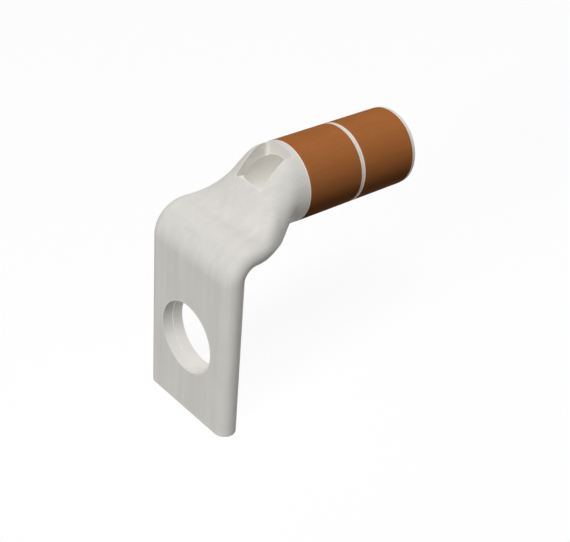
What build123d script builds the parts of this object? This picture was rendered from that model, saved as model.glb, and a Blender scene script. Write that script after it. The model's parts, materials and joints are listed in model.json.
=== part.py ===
from build123d import *
import math
import os

# Cable lug with a right-angle palm, pressed from one length of copper tube.
# The origin is the middle of the stud hole on the palm's outer face.
# +X runs along the barrel towards its open mouth, +Z points up the palm to the bend.

# Driving sizes, in millimetres
barrel_diameter = 10.72
bore_diameter = 7.5
barrel_length = 20.67
mouth_chamfer = 0.25
mouth_bevel = 0.3

neck_length = 8.5
waist_delay = 4.6

palm_thickness = 3.1
palm_width = 16.46
bend_inner_radius = 1.45
seam_gap = 0.05

hole_diameter = 10.1
hole_to_barrel_axis = 18.43
hole_to_palm_end = 11.54

window_length = 5.0
window_width = 4.9
window_corner = 0.5
window_reach = 0.85
window_floor = 1.1

window_margin = 0.84
band_gap = 0.6
mouth_margin = 0.74
band_thickness = 0.04

# Shape of the neck: how many outlines carry it, and how fast its crown flattens
neck_outlines = 11
crown_power = 2.0
round_opening = math.pi / 4
flat_opening = 0.001

# Worked out from the driving sizes
barrel_radius = barrel_diameter / 2
bore_radius = bore_diameter / 2
barrel_wall = barrel_radius - bore_radius
flat_wall = (palm_thickness - seam_gap) / 2

bend_radius = bend_inner_radius + palm_thickness
neck_start = bend_radius
barrel_start = neck_start + neck_length
mouth_x = barrel_start + barrel_length
tongue_top = hole_to_barrel_axis - barrel_radius + palm_thickness
bend_centre_z = tongue_top - bend_radius
palm_end_z = -hole_to_palm_end

window_end = barrel_start + window_reach
window_start = window_end - window_length

front_band_start = window_end + window_margin
rear_band_end = mouth_x - mouth_margin
band_length = (rear_band_end - front_band_start - band_gap) / 2
rear_band_start = rear_band_end - band_length


def blend(x, start, end):
    """Smooth weight: 1 at start, 0 at end, level at both."""
    share = min(max((end - x) / (end - start), 0), 1)
    return share * share * (3 - 2 * share)


def quarter(half_width, height, opening):
    """One quarter of an oval: a side arc, then a cap arc that spans the opening angle.

    Returns a point half way along the side arc, and the point where the cap takes over."""
    turn = math.pi / 2 - opening
    if opening < flat_opening:
        radius = height
    else:
        spread = (half_width - height) / (math.cos(turn) + math.sin(turn) - 1)
        radius = half_width - spread * math.cos(turn)
    centre = half_width - radius
    middle = (centre + radius * math.cos(turn / 2), radius * math.sin(turn / 2))
    joint = (centre + radius * math.cos(turn), radius * math.sin(turn))
    return middle, joint


def half_outline(half_width, height, opening, side):
    """The edges from the right side over the top (side 1) or under the floor (side -1) to the left."""
    middle, joint = quarter(half_width, height, opening)
    right = ThreePointArc((half_width, 0), (middle[0], side * middle[1]), (joint[0], side * joint[1]))
    left = ThreePointArc((-joint[0], side * joint[1]), (-middle[0], side * middle[1]), (-half_width, 0))
    if opening < flat_opening:
        cap = Line(right @ 1, left @ 0)
    else:
        cap = ThreePointArc(right @ 1, (0, side * height), left @ 0)
    return [right, cap, left]


def outline(plane, half_width, upper, lower, crown_opening, floor_opening):
    """A closed section: upper and lower are its heights above and below the widest point."""
    edges = half_outline(half_width, upper, crown_opening, 1)
    edges += half_outline(half_width, lower, floor_opening, -1)
    return plane * make_face(edges)


def flat_outline(plane):
    """The pressed tube's section: a bar with full-round sides."""
    return outline(plane, palm_width / 2, palm_thickness / 2, palm_thickness / 2, 0, 0)


def seam_outline(plane):
    """The narrow seam that stays between the pressed walls."""
    return plane * Rectangle(palm_width - 2 * flat_wall, seam_gap)


def neck_outline(x, round_inset, flat_inset):
    """The neck's section at x: round at the barrel, flat at the tongue, its floor always level."""
    flatness = blend(x, neck_start, barrel_start)
    sinking = blend(x, neck_start + waist_delay, barrel_start)
    inset = round_inset + (flat_inset - round_inset) * sinking
    waist = hole_to_barrel_axis - (barrel_radius - palm_thickness / 2) * sinking
    crown = hole_to_barrel_axis + barrel_radius - (2 * barrel_radius - palm_thickness) * flatness
    floor = hole_to_barrel_axis - barrel_radius
    half_width = barrel_radius + (palm_width / 2 - barrel_radius) * flatness - inset
    upper = crown - waist - inset
    lower = waist - floor - inset
    crown_opening = round_opening * (1 - flatness ** crown_power)
    floor_opening = round_opening * (1 - flatness) * lower / half_width
    section = Plane(origin=(x, 0, waist), x_dir=(0, 1, 0), z_dir=(1, 0, 0))
    return outline(section, half_width, upper, lower, crown_opening, floor_opening)


def neck(round_inset, flat_inset):
    """Loft from the flat tongue to the round barrel."""
    step = neck_length / (neck_outlines - 1)
    sections = [neck_outline(neck_start + step * i, round_inset, flat_inset) for i in range(neck_outlines)]
    return loft(sections)


def tongue_plane():
    """Where the neck ends and the bend begins."""
    middle = tongue_top - palm_thickness / 2
    return Plane(origin=(neck_start, 0, middle), x_dir=(0, 1, 0), z_dir=(1, 0, 0))


def palm_plane():
    """Where the bend ends and the palm begins."""
    return Plane(origin=(palm_thickness / 2, 0, bend_centre_z), x_dir=(0, 1, 0), z_dir=(0, 0, -1))


def bend_path():
    """The middle of the wall as it turns a right angle from the tongue down to the palm."""
    radius = bend_radius - palm_thickness / 2
    half_way = radius * math.sqrt(0.5)
    top = (neck_start, 0, bend_centre_z + radius)
    middle = (neck_start - half_way, 0, bend_centre_z + half_way)
    bottom = (neck_start - radius, 0, bend_centre_z)
    return ThreePointArc(top, middle, bottom)


def bend():
    """The bend's outside."""
    return sweep(flat_outline(tongue_plane()), bend_path())


def palm():
    """The straight palm's outside, down to its cut end."""
    return extrude(flat_outline(palm_plane()), bend_centre_z - palm_end_z)


def seam():
    """The seam along the bend and down the palm, open at the cut end."""
    in_bend = sweep(seam_outline(tongue_plane()), bend_path())
    in_palm = extrude(seam_outline(palm_plane()), bend_centre_z - palm_end_z + palm_thickness)
    return in_bend + in_palm


def round_tube(radius, length):
    """A cylinder along the barrel from where the neck ends."""
    base = Plane(origin=(barrel_start, 0, hole_to_barrel_axis), z_dir=(1, 0, 0))
    return extrude(base * Circle(radius), length)


def barrel():
    """The round barrel's outside, its mouth edge chamfered."""
    tube = round_tube(barrel_radius, barrel_length)
    return chamfer(tube.edges().group_by(Axis.X)[-1], mouth_chamfer)


def hollow():
    """The room inside the tube: bore, narrowing neck, and the seam between the pressed walls."""
    bore = round_tube(bore_radius, barrel_length)
    return bore + neck(barrel_wall, flat_wall) + seam()


def mouth_flare():
    """The bevel that guides the strands into the bore."""
    base = Plane(origin=(mouth_x - mouth_bevel, 0, hole_to_barrel_axis), z_dir=(1, 0, 0))
    rising = (Align.CENTER, Align.CENTER, Align.MIN)
    return base * Cone(bore_radius, bore_radius + mouth_bevel, mouth_bevel, align=rising)


def window():
    """The inspection opening: a slot milled straight down, whose level floor stops above the axis."""
    middle = (window_start + window_end) / 2
    base = Plane(origin=(middle, 0, hole_to_barrel_axis + window_floor))
    return extrude(base * RectangleRounded(window_length, window_width, window_corner), 2 * barrel_diameter)


def stud_hole():
    """The hole for the stud, through both walls of the palm."""
    base = Plane(origin=(-palm_thickness, 0, 0), z_dir=(1, 0, 0))
    return extrude(base * Circle(hole_diameter / 2), palm_thickness * 3)


def lug_body():
    """The whole pressed tube."""
    shape = barrel() + neck(0, 0) + bend() + palm()
    shape -= hollow()
    shape -= mouth_flare()
    shape -= window()
    shape -= stud_hole()
    return shape


def colour_band(start):
    """A printed band of colour that wraps the barrel."""
    base = Plane(origin=(start, 0, hole_to_barrel_axis), z_dir=(1, 0, 0))
    ring = Circle(barrel_radius + band_thickness) - Circle(barrel_radius)
    return extrude(base * ring, band_length)


os.makedirs("parts", exist_ok=True)
export_step(lug_body(), "parts/lug_body.step")
export_step(colour_band(front_band_start), "parts/colour_band_front.step")
export_step(colour_band(rear_band_start), "parts/colour_band_rear.step")
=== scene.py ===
import json
import math

import bpy
from mathutils import Matrix, Vector


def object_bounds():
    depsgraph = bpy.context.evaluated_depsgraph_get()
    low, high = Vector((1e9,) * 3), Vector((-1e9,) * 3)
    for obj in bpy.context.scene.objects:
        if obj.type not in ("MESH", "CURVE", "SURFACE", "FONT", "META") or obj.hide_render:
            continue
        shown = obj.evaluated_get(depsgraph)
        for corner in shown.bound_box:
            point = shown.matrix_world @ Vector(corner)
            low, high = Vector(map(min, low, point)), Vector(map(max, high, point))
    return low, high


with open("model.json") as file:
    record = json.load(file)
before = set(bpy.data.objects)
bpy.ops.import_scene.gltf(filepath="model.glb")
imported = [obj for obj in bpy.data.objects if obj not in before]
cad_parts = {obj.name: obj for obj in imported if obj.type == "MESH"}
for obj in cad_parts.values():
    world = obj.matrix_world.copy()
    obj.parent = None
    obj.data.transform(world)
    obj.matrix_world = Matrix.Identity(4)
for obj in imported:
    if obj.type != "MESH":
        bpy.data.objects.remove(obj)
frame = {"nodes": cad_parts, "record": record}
cad_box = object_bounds()


def mount(name):
    """One of the lug's mounts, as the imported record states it."""
    return next(row for row in frame["record"]["mounts"] if row["name"] == name)


# The camera, found by fitting its view to the photograph's edges
PHOTO_WIDTH = 570
SENSOR_WIDTH = 36.0
FOCAL_PIXELS = 1125.07
CAMERA_PLACE = Vector((-0.071115, -0.093087, 0.086124))
CAMERA_YAW = math.radians(46.758)
CAMERA_PITCH = math.radians(32.672)
CAMERA_ROLL = math.radians(4.741)
CLIP_NEAR = 0.01
CLIP_FAR = 10

# Soft boxes on three sides: the direction of each, and the light it gives a surface that faces it.
# The top side has two, because only a small share of its light throws a shadow.
LUG_MIDDLE = Vector((0.015, 0, 0.01))
LAMP_DISTANCE = 3.0
LAMP_SIZE = 0.75
TOP_DIRECTION = (-0.365, -0.276, 0.889)
FRONT_DIRECTION = (-0.968, -0.228, 0.12)
REAR_DIRECTION = (0.715, 0.135, 0.687)
TOP_LIGHT = 0.08
TOP_FILL = 0.67
FRONT_LIGHT = 0.41
REAR_LIGHT = 0.32

# The surroundings: the light that sky and floor give the lug, and how the floor looks to the camera
WHITE = (1, 1, 1, 1)
SKY_LIGHT = 0.01
FLOOR_BOUNCE = 0.02
FLOOR_SHADE = 0.4
FLOOR_GLOW = 0.62
FLOOR_ROUGHNESS = 0.9
FLOOR_HALF_WIDTH = 1.0
FLOOR_GAP = 0.00005

# The tin plate: its tones from dark to pale, its relief in metres, and how it reflects
TIN_DARK = (0.67, 0.653, 0.613)
TIN_PALE = (0.73, 0.713, 0.67)
# Painted light: the window's and hole's cut faces are painted paler against the shade in those recesses;
# the same tone marks rubbed edges as wear
TIN_RUBBED_AND_PAINTED_LIGHT = (0.78, 0.765, 0.72)
# Painted light: the bore's face under the window is painted pale for the light that fills the window
TIN_BORE_PAINTED_LIGHT = (0.83, 0.82, 0.79)
# Painted light: nearly white on the seam's faces against their shade, and as a painted highlight beside
# each printed band
TIN_PAINTED_PALE = (0.97, 0.96, 0.94)
TIN_RELIEF = 0.000005
TIN_METALLIC = 0.25
TIN_SPECULAR = 0.05

# The printed ink, the same way
INK_DARK = (0.33, 0.115, 0.033)
INK_PALE = (0.38, 0.137, 0.042)
# The band ends: thin worn print, painted pale also as a highlight along the band's edge
INK_THIN_AND_HIGHLIT = (0.6, 0.42, 0.3)
INK_RELIEF = 0.000004
INK_SPECULAR = 0.01

# Noise: its scales per metre, its detail, and how the drawn lines are stretched along each axis
LINE_SCALE = 1000
LINE_DETAIL = 3
GRAIN_SCALE = 4000
CLOUD_SCALE = 250
SOFT_DETAIL = 2
NOISE_ROUGHNESS = 0.6
UNSTRETCHED = (1, 1, 1)
PALM_STRETCH = (1, 1, 0.06)
BARREL_STRETCH = (0.06, 1, 1)

# How much grain and cloud join the lines, the ranges of their sum that count for the tone and for
# the roughness, and the roughness at the ends of that range
TIN_GRAIN = 0.5
TIN_CLOUD = 0.5
TIN_TONES = (0.7, 1.3)
TIN_WORKED = (0.45, 1.05)
TIN_ROUGHNESS = (0.58, 0.42)
INK_GRAIN = 0.7
INK_CLOUD = 0.8
INK_TONES = (0.85, 1.65)
INK_WORKED = (0.55, 1.15)
INK_ROUGHNESS = (0.66, 0.54)

# How the grain breaks up what is rubbed, and the thin print with its painted highlight: its range, and the
# weight it leaves
RUBBED_GRAIN = (0.35, 0.6)
RUBBED_WEIGHT = (0.2, 1)
THIN_GRAIN = (0.3, 0.5)
THIN_WEIGHT = (0.5, 1)

# Where the cuts and the barrel lie, in metres: the seam is half way through the palm
MILLIMETRE = 0.001
HOLE_RADIUS = mount("stud_hole")["dims"]["r_mm"] * MILLIMETRE
SEAM_DEPTH = mount("stud_hole")["dims"]["length_mm"] * MILLIMETRE / 2
BORE_RADIUS = mount("conductor_bore")["dims"]["r_mm"] * MILLIMETRE
BARREL_AXIS = mount("conductor_bore")["pos_m"][2]
WINDOW_START = 0.0089
WINDOW_END = 0.0139
WINDOW_WIDTH = 0.0049

# Stretches over which one surface gives way to another, in metres. The seam's faces are measured from
# its own middle, and its sides from the lug's.
BEND_TURN = (0.001, 0.0045)
BELOW_INSIDE = (0.0138, 0.0139)
BORE_BEHIND = (0.0102, 0.0107)
BORE_AHEAD = (0.019, 0.025)
SEAM_FACES = (0.00003, 0.00004)
SEAM_SIDE = (0.0069, 0.007)
SEAM_TOP = (0.014, 0.015)

# The same as shares: the cuts' of the window's or the hole's size, the barrel's of the bore's radius
CUT_LIMIT = (1.002, 1.01)
HOLE_LIMIT = (1, 1.0005)
BORE_LIMIT = (1.05, 1.07)
OUTSIDE_LIMIT = (1.3, 1.4)
OUT_OF_REACH = 9

# How far from an edge its wear, the painted highlight and the thin print beside the bands still show: in
# metres, and for the cuts' rims as a share of their size
EDGE_REACH = 0.00025
INK_EDGE = 0.0001
# The reach of the painted highlight on the bare metal beside each band
HIGHLIGHT_REACH = 0.00016
HOLE_RIM = 0.06
WINDOW_RIM = 0.04

# The two ways a weight can run over a range
RISING = (0, 1)
FALLING = (1, 0)

# The nodes of the printed bands
BANDS = ("colour_band_front", "colour_band_rear")


def add_camera():
    """The photograph's view: yaw from +X, pitched down, and rolled a little."""
    ahead = Vector((
        math.cos(CAMERA_PITCH) * math.cos(CAMERA_YAW),
        math.cos(CAMERA_PITCH) * math.sin(CAMERA_YAW),
        -math.sin(CAMERA_PITCH),
    ))
    level = ahead.cross(Vector((0, 0, 1))).normalized()
    upright = level.cross(ahead)
    right = math.cos(CAMERA_ROLL) * level + math.sin(CAMERA_ROLL) * upright
    up = math.cos(CAMERA_ROLL) * upright - math.sin(CAMERA_ROLL) * level
    data = bpy.data.cameras.new("camera")
    data.sensor_width = SENSOR_WIDTH
    data.lens = FOCAL_PIXELS * SENSOR_WIDTH / PHOTO_WIDTH
    data.clip_start = CLIP_NEAR
    data.clip_end = CLIP_FAR
    camera = bpy.data.objects.new("camera", data)
    turn = Matrix((right, up, -ahead)).transposed()
    camera.matrix_world = Matrix.Translation(CAMERA_PLACE) @ turn.to_4x4()
    bpy.context.scene.collection.objects.link(camera)
    bpy.context.scene.camera = camera


def new_material(name):
    """A node material, its tree and its principled shader."""
    material = bpy.data.materials.new(name)
    material.use_nodes = True
    tree = material.node_tree
    return material, tree, tree.nodes["Principled BSDF"]


def add_node(tree, kind, values=None, **settings):
    """A shader node with the values of its unlinked inputs, and its settings by name."""
    node = tree.nodes.new(kind)
    for name, value in settings.items():
        setattr(node, name, value)
    for name, value in (values or {}).items():
        node.inputs[name].default_value = value
    return node


def stretched_noise(tree, stretch, scale, detail):
    """Noise over the part, drawn out by a stretch along each of the frame's axes."""
    here = add_node(tree, "ShaderNodeTexCoord")
    mapping = add_node(tree, "ShaderNodeMapping", {"Scale": stretch})
    values = {"Scale": scale, "Detail": detail, "Roughness": NOISE_ROUGHNESS}
    noise = add_node(tree, "ShaderNodeTexNoise", values)
    tree.links.new(here.outputs["Object"], mapping.inputs["Vector"])
    tree.links.new(mapping.outputs["Vector"], noise.inputs["Vector"])
    return noise.outputs["Fac"]


def blended(tree, weight, first, second):
    """The first value where the weight is 0 and the second where it is 1."""
    mix = add_node(tree, "ShaderNodeMix", data_type="FLOAT")
    tree.links.new(weight, mix.inputs["Factor"])
    tree.links.new(first, mix.inputs["A"])
    tree.links.new(second, mix.inputs["B"])
    return mix.outputs["Result"]


def tinted(tree, weight, first, second):
    """The first colour where the weight is 0 and the second where it is 1."""
    mix = add_node(tree, "ShaderNodeMix", data_type="RGBA")
    factor = next(slot for slot in mix.inputs if slot.name == "Factor" and slot.type == "VALUE")
    slots = [slot for slot in mix.inputs if slot.type == "RGBA"]
    tree.links.new(weight, factor)
    for slot, colour in zip(slots, (first, second)):
        if isinstance(colour, tuple):
            slot.default_value = (*colour, 1)
        else:
            tree.links.new(colour, slot)
    return next(slot for slot in mix.outputs if slot.type == "RGBA")


def computed(tree, operation, *terms):
    """One step of arithmetic on sockets and numbers."""
    node = add_node(tree, "ShaderNodeMath", operation=operation)
    for slot, term in zip(node.inputs, terms):
        if isinstance(term, (int, float)):
            slot.default_value = term
        else:
            tree.links.new(term, slot)
    return node.outputs[0]


def combined(tree, operation, weights):
    """One operation run through a list of weights."""
    result = weights[0]
    for weight in weights[1:]:
        result = computed(tree, operation, result, weight)
    return result


def ranged(tree, value, source, target):
    """A value moved from the source range to the target range, held inside it."""
    limits = {"From Min": source[0], "From Max": source[1], "To Min": target[0], "To Max": target[1]}
    node = add_node(tree, "ShaderNodeMapRange", limits)
    tree.links.new(value, node.inputs["Value"])
    return node.outputs["Result"]


def place(tree, axis):
    """The place along one of the frame's axes, in metres."""
    here = add_node(tree, "ShaderNodeTexCoord")
    parts = add_node(tree, "ShaderNodeSeparateXYZ")
    tree.links.new(here.outputs["Object"], parts.inputs["Vector"])
    return parts.outputs[axis]


def apart(tree, value, target):
    """How far a value is from its target, to either side."""
    return computed(tree, "ABSOLUTE", computed(tree, "SUBTRACT", value, target))


def near(tree, value, target, reach):
    """1 where a value meets its target, down to 0 at the reach from it."""
    return ranged(tree, apart(tree, value, target), (0, reach), FALLING)


def from_line(tree, first, second):
    """The distance from a line, given how far a place is from it in two directions."""
    squares = [computed(tree, "MULTIPLY", offset, offset) for offset in (first, second)]
    return computed(tree, "SQRT", computed(tree, "ADD", *squares))


def from_hole(tree):
    """How far a place is from the stud hole's centre line: 1 at its wall."""
    return computed(tree, "DIVIDE", from_line(tree, place(tree, "Y"), place(tree, "Z")), HOLE_RADIUS)


def from_barrel(tree):
    """How far a place is from the barrel's axis, in bore radii."""
    height = computed(tree, "SUBTRACT", place(tree, "Z"), BARREL_AXIS)
    return computed(tree, "DIVIDE", from_line(tree, place(tree, "Y"), height), BORE_RADIUS)


def from_window(tree):
    """How far a place is from the window's middle, seen from above: 1 at its sides.

    Below the tube's inside it is out of reach, so that the lug's underside stays plain."""
    middle = (WINDOW_START + WINDOW_END) / 2
    half_length = (WINDOW_END - WINDOW_START) / 2
    along = computed(tree, "DIVIDE", apart(tree, place(tree, "X"), middle), half_length)
    across = computed(tree, "DIVIDE", apart(tree, place(tree, "Y"), 0), WINDOW_WIDTH / 2)
    below = ranged(tree, place(tree, "Z"), BELOW_INSIDE, (OUT_OF_REACH, 0))
    return combined(tree, "MAXIMUM", [across, along, below])


def cut_faces(tree):
    """1 on the faces cut through the tube: the window's walls and the stud hole's, which get painted
    light.
    """
    distance = computed(tree, "MINIMUM", from_window(tree), from_hole(tree))
    return ranged(tree, distance, CUT_LIMIT, FALLING)


def bore_painted_light(tree):
    """1 on the bore's own face under the window, fading to 0 towards the mouth: painted light against the
    shade in the window.
    """
    inside = ranged(tree, from_barrel(tree), BORE_LIMIT, FALLING)
    behind = ranged(tree, place(tree, "X"), BORE_BEHIND, RISING)
    ahead = ranged(tree, place(tree, "X"), BORE_AHEAD, FALLING)
    return combined(tree, "MULTIPLY", [inside, behind, ahead])


def seam_painted_light(tree):
    """1 on the faces of the seam between the palm's pressed walls, painted nearly white so that painted
    light lifts the seam's shade.
    """
    limits = [
        ranged(tree, apart(tree, place(tree, "X"), SEAM_DEPTH), SEAM_FACES, FALLING),
        ranged(tree, from_hole(tree), HOLE_LIMIT, RISING),
        ranged(tree, apart(tree, place(tree, "Y"), 0), SEAM_SIDE, FALLING),
        ranged(tree, place(tree, "Z"), SEAM_TOP, FALLING),
    ]
    return combined(tree, "MULTIPLY", limits)


def rubbed_edges(tree, grain):
    """1 along the edges that rub bright, broken up by the grain."""
    rims = [
        near(tree, from_hole(tree), 1, HOLE_RIM),
        near(tree, from_window(tree), 1, WINDOW_RIM),
        near(tree, place(tree, "Z"), cad_box[0].z, EDGE_REACH),
        near(tree, place(tree, "X"), cad_box[1].x, EDGE_REACH),
    ]
    rubbed = ranged(tree, grain, RUBBED_GRAIN, RUBBED_WEIGHT)
    return computed(tree, "MULTIPLY", combined(tree, "MAXIMUM", rims), rubbed)


def band_ends(tree, reach):
    """1 at the ends of the printed bands, down to 0 at the reach from them."""
    ends = []
    for band in BANDS:
        corners = [corner[0] for corner in frame["nodes"][band].bound_box]
        ends += [min(corners), max(corners)]
    return combined(tree, "MAXIMUM", [near(tree, place(tree, "X"), end, reach) for end in ends])


def edge_highlight_line(tree):
    """1 on the painted highlight line beside each printed band, on the outside of the barrel alone."""
    outside = ranged(tree, from_barrel(tree), OUTSIDE_LIMIT, RISING)
    return computed(tree, "MULTIPLY", band_ends(tree, HIGHLIGHT_REACH), outside)


def draw_lines(tree):
    """Fine lines from the drawing of the tube: along the barrel, and round the bend down the palm."""
    on_palm = stretched_noise(tree, PALM_STRETCH, LINE_SCALE, LINE_DETAIL)
    on_barrel = stretched_noise(tree, BARREL_STRETCH, LINE_SCALE, LINE_DETAIL)
    turn = ranged(tree, place(tree, "X"), BEND_TURN, RISING)
    return blended(tree, turn, on_palm, on_barrel)


def height_to_normal(tree, shader, height, depth):
    """Fine relief on a shader, its depth in metres."""
    bump = add_node(tree, "ShaderNodeBump", {"Strength": 1.0, "Distance": depth})
    tree.links.new(height, bump.inputs["Height"])
    tree.links.new(bump.outputs["Normal"], shader.inputs["Normal"])


def tin_colour(tree, grain, worked):
    """Cloudy grey: brighter where rubbed, with painted light making the window's and hole's cut faces and
    the bore under the window brighter, the seam palest, and a painted highlight beside the ink.
    """
    clouds = stretched_noise(tree, UNSTRETCHED, CLOUD_SCALE, SOFT_DETAIL)
    tone = computed(tree, "MULTIPLY_ADD", clouds, TIN_CLOUD, worked)
    colour = tinted(tree, ranged(tree, tone, TIN_TONES, RISING), TIN_DARK, TIN_PALE)
    # The window's and the hole's cut faces are painted brighter as painted light; the rubbed edges are
    # wear
    bright = computed(tree, "MAXIMUM", cut_faces(tree), rubbed_edges(tree, grain))
    layers = [
        (bright, TIN_RUBBED_AND_PAINTED_LIGHT),
        (bore_painted_light(tree), TIN_BORE_PAINTED_LIGHT),
        (seam_painted_light(tree), TIN_PAINTED_PALE),
        (edge_highlight_line(tree), TIN_PAINTED_PALE),
    ]
    for weight, paler in layers:
        colour = tinted(tree, weight, colour, paler)
    return colour


def tin_material():
    """Satin tin plate: drawn lines and a matte grain under its colour."""
    material, tree, shader = new_material("tin_plate")
    grain = stretched_noise(tree, UNSTRETCHED, GRAIN_SCALE, SOFT_DETAIL)
    worked = computed(tree, "MULTIPLY_ADD", grain, TIN_GRAIN, draw_lines(tree))
    tree.links.new(tin_colour(tree, grain, worked), shader.inputs["Base Color"])
    tree.links.new(ranged(tree, worked, TIN_WORKED, TIN_ROUGHNESS), shader.inputs["Roughness"])
    height_to_normal(tree, shader, worked, TIN_RELIEF)
    shader.inputs["Metallic"].default_value = TIN_METALLIC
    shader.inputs["Specular IOR Level"].default_value = TIN_SPECULAR
    return material


def ink_colour(tree, grain, worked):
    """Slightly cloudy brown, paler at the ends of each band: thin worn print together with a painted
    highlight along the band's edge.
    """
    clouds = stretched_noise(tree, UNSTRETCHED, CLOUD_SCALE, SOFT_DETAIL)
    tone = computed(tree, "MULTIPLY_ADD", clouds, INK_CLOUD, worked)
    plain = tinted(tree, ranged(tree, tone, INK_TONES, RISING), INK_DARK, INK_PALE)
    # The pale band ends: thin worn print, and a painted highlight along the band's edge
    worn = ranged(tree, grain, THIN_GRAIN, THIN_WEIGHT)
    thin = computed(tree, "MULTIPLY", band_ends(tree, INK_EDGE), worn)
    return tinted(tree, thin, plain, INK_THIN_AND_HIGHLIT)


def ink_material():
    """Brown printed ink: a thin even coat that shows the metal's lines and grain."""
    material, tree, shader = new_material("brown_ink")
    grain = stretched_noise(tree, UNSTRETCHED, GRAIN_SCALE, SOFT_DETAIL)
    lines = stretched_noise(tree, BARREL_STRETCH, LINE_SCALE, LINE_DETAIL)
    worked = computed(tree, "MULTIPLY_ADD", grain, INK_GRAIN, lines)
    tree.links.new(ink_colour(tree, grain, worked), shader.inputs["Base Color"])
    tree.links.new(ranged(tree, worked, INK_WORKED, INK_ROUGHNESS), shader.inputs["Roughness"])
    height_to_normal(tree, shader, worked, INK_RELIEF)
    shader.inputs["Specular IOR Level"].default_value = INK_SPECULAR
    return material


def dress(node, material):
    """Gives a node from the frame its material."""
    mesh = frame["nodes"][node].data
    mesh.materials.clear()
    mesh.materials.append(material)


def seen_directly(tree):
    """1 for rays that look at the background straight, in a reflection or through glass, else 0."""
    path = add_node(tree, "ShaderNodeLightPath")
    rays = [path.outputs[kind] for kind in ("Is Camera Ray", "Is Glossy Ray", "Is Transmission Ray")]
    return combined(tree, "MAXIMUM", rays)


def floor_material():
    """White paper that looks lit through, so that only the lug's shadow tints it."""
    material, tree, shader = new_material("floor_paper")
    direct = seen_directly(tree)
    shade = ranged(tree, direct, RISING, (FLOOR_BOUNCE, FLOOR_SHADE))
    glow = ranged(tree, direct, RISING, (0, FLOOR_GLOW))
    tree.links.new(shade, shader.inputs["Base Color"])
    tree.links.new(glow, shader.inputs["Emission Strength"])
    shader.inputs["Emission Color"].default_value = WHITE
    shader.inputs["Roughness"].default_value = FLOOR_ROUGHNESS
    shader.inputs["Specular IOR Level"].default_value = 0
    return material


def add_floor():
    """A plain white floor just under the lug."""
    mesh = bpy.data.meshes.new("floor")
    height = cad_box[0].z - FLOOR_GAP
    signs = ((-1, -1), (1, -1), (1, 1), (-1, 1))
    corners = [(FLOOR_HALF_WIDTH * x, FLOOR_HALF_WIDTH * y, height) for x, y in signs]
    mesh.from_pydata(corners, [], [(0, 1, 2, 3)])
    floor = bpy.data.objects.new("floor", mesh)
    bpy.context.scene.collection.objects.link(floor)
    mesh.materials.append(floor_material())


def add_lamp(name, direction, light, casts):
    """A square soft box that faces the lug from a direction, and casts a shadow or doesn't.

    Its power is such that a white surface facing it looks as bright as the given light."""
    data = bpy.data.lights.new(name, "AREA")
    data.shape = "SQUARE"
    data.size = LAMP_SIZE
    data.energy = light * (math.pi * LAMP_DISTANCE) ** 2
    data.use_shadow = casts
    lamp = bpy.data.objects.new(name, data)
    away = Vector(direction).normalized()
    lamp.location = LUG_MIDDLE + away * LAMP_DISTANCE
    lamp.rotation_mode = "QUATERNION"
    lamp.rotation_quaternion = away.to_track_quat("Z", "Y")
    lamp.visible_glossy = False
    bpy.context.scene.collection.objects.link(lamp)


def add_world():
    """White surroundings that add only a little light to what the lamps give."""
    world = bpy.data.worlds.new("studio")
    world.use_nodes = True
    bpy.context.scene.world = world
    tree = world.node_tree
    background = tree.nodes["Background"]
    background.inputs["Color"].default_value = WHITE
    strength = ranged(tree, seen_directly(tree), RISING, (SKY_LIGHT, 1))
    tree.links.new(strength, background.inputs["Strength"])


add_camera()
dress("lug_body", tin_material())
ink = ink_material()
for band in BANDS:
    dress(band, ink)
add_floor()
add_world()
add_lamp("top", TOP_DIRECTION, TOP_LIGHT, True)
add_lamp("top_fill", TOP_DIRECTION, TOP_FILL, False)
add_lamp("front", FRONT_DIRECTION, FRONT_LIGHT, True)
add_lamp("rear", REAR_DIRECTION, REAR_LIGHT, False)

bpy.context.scene.view_settings.view_transform = "Standard"
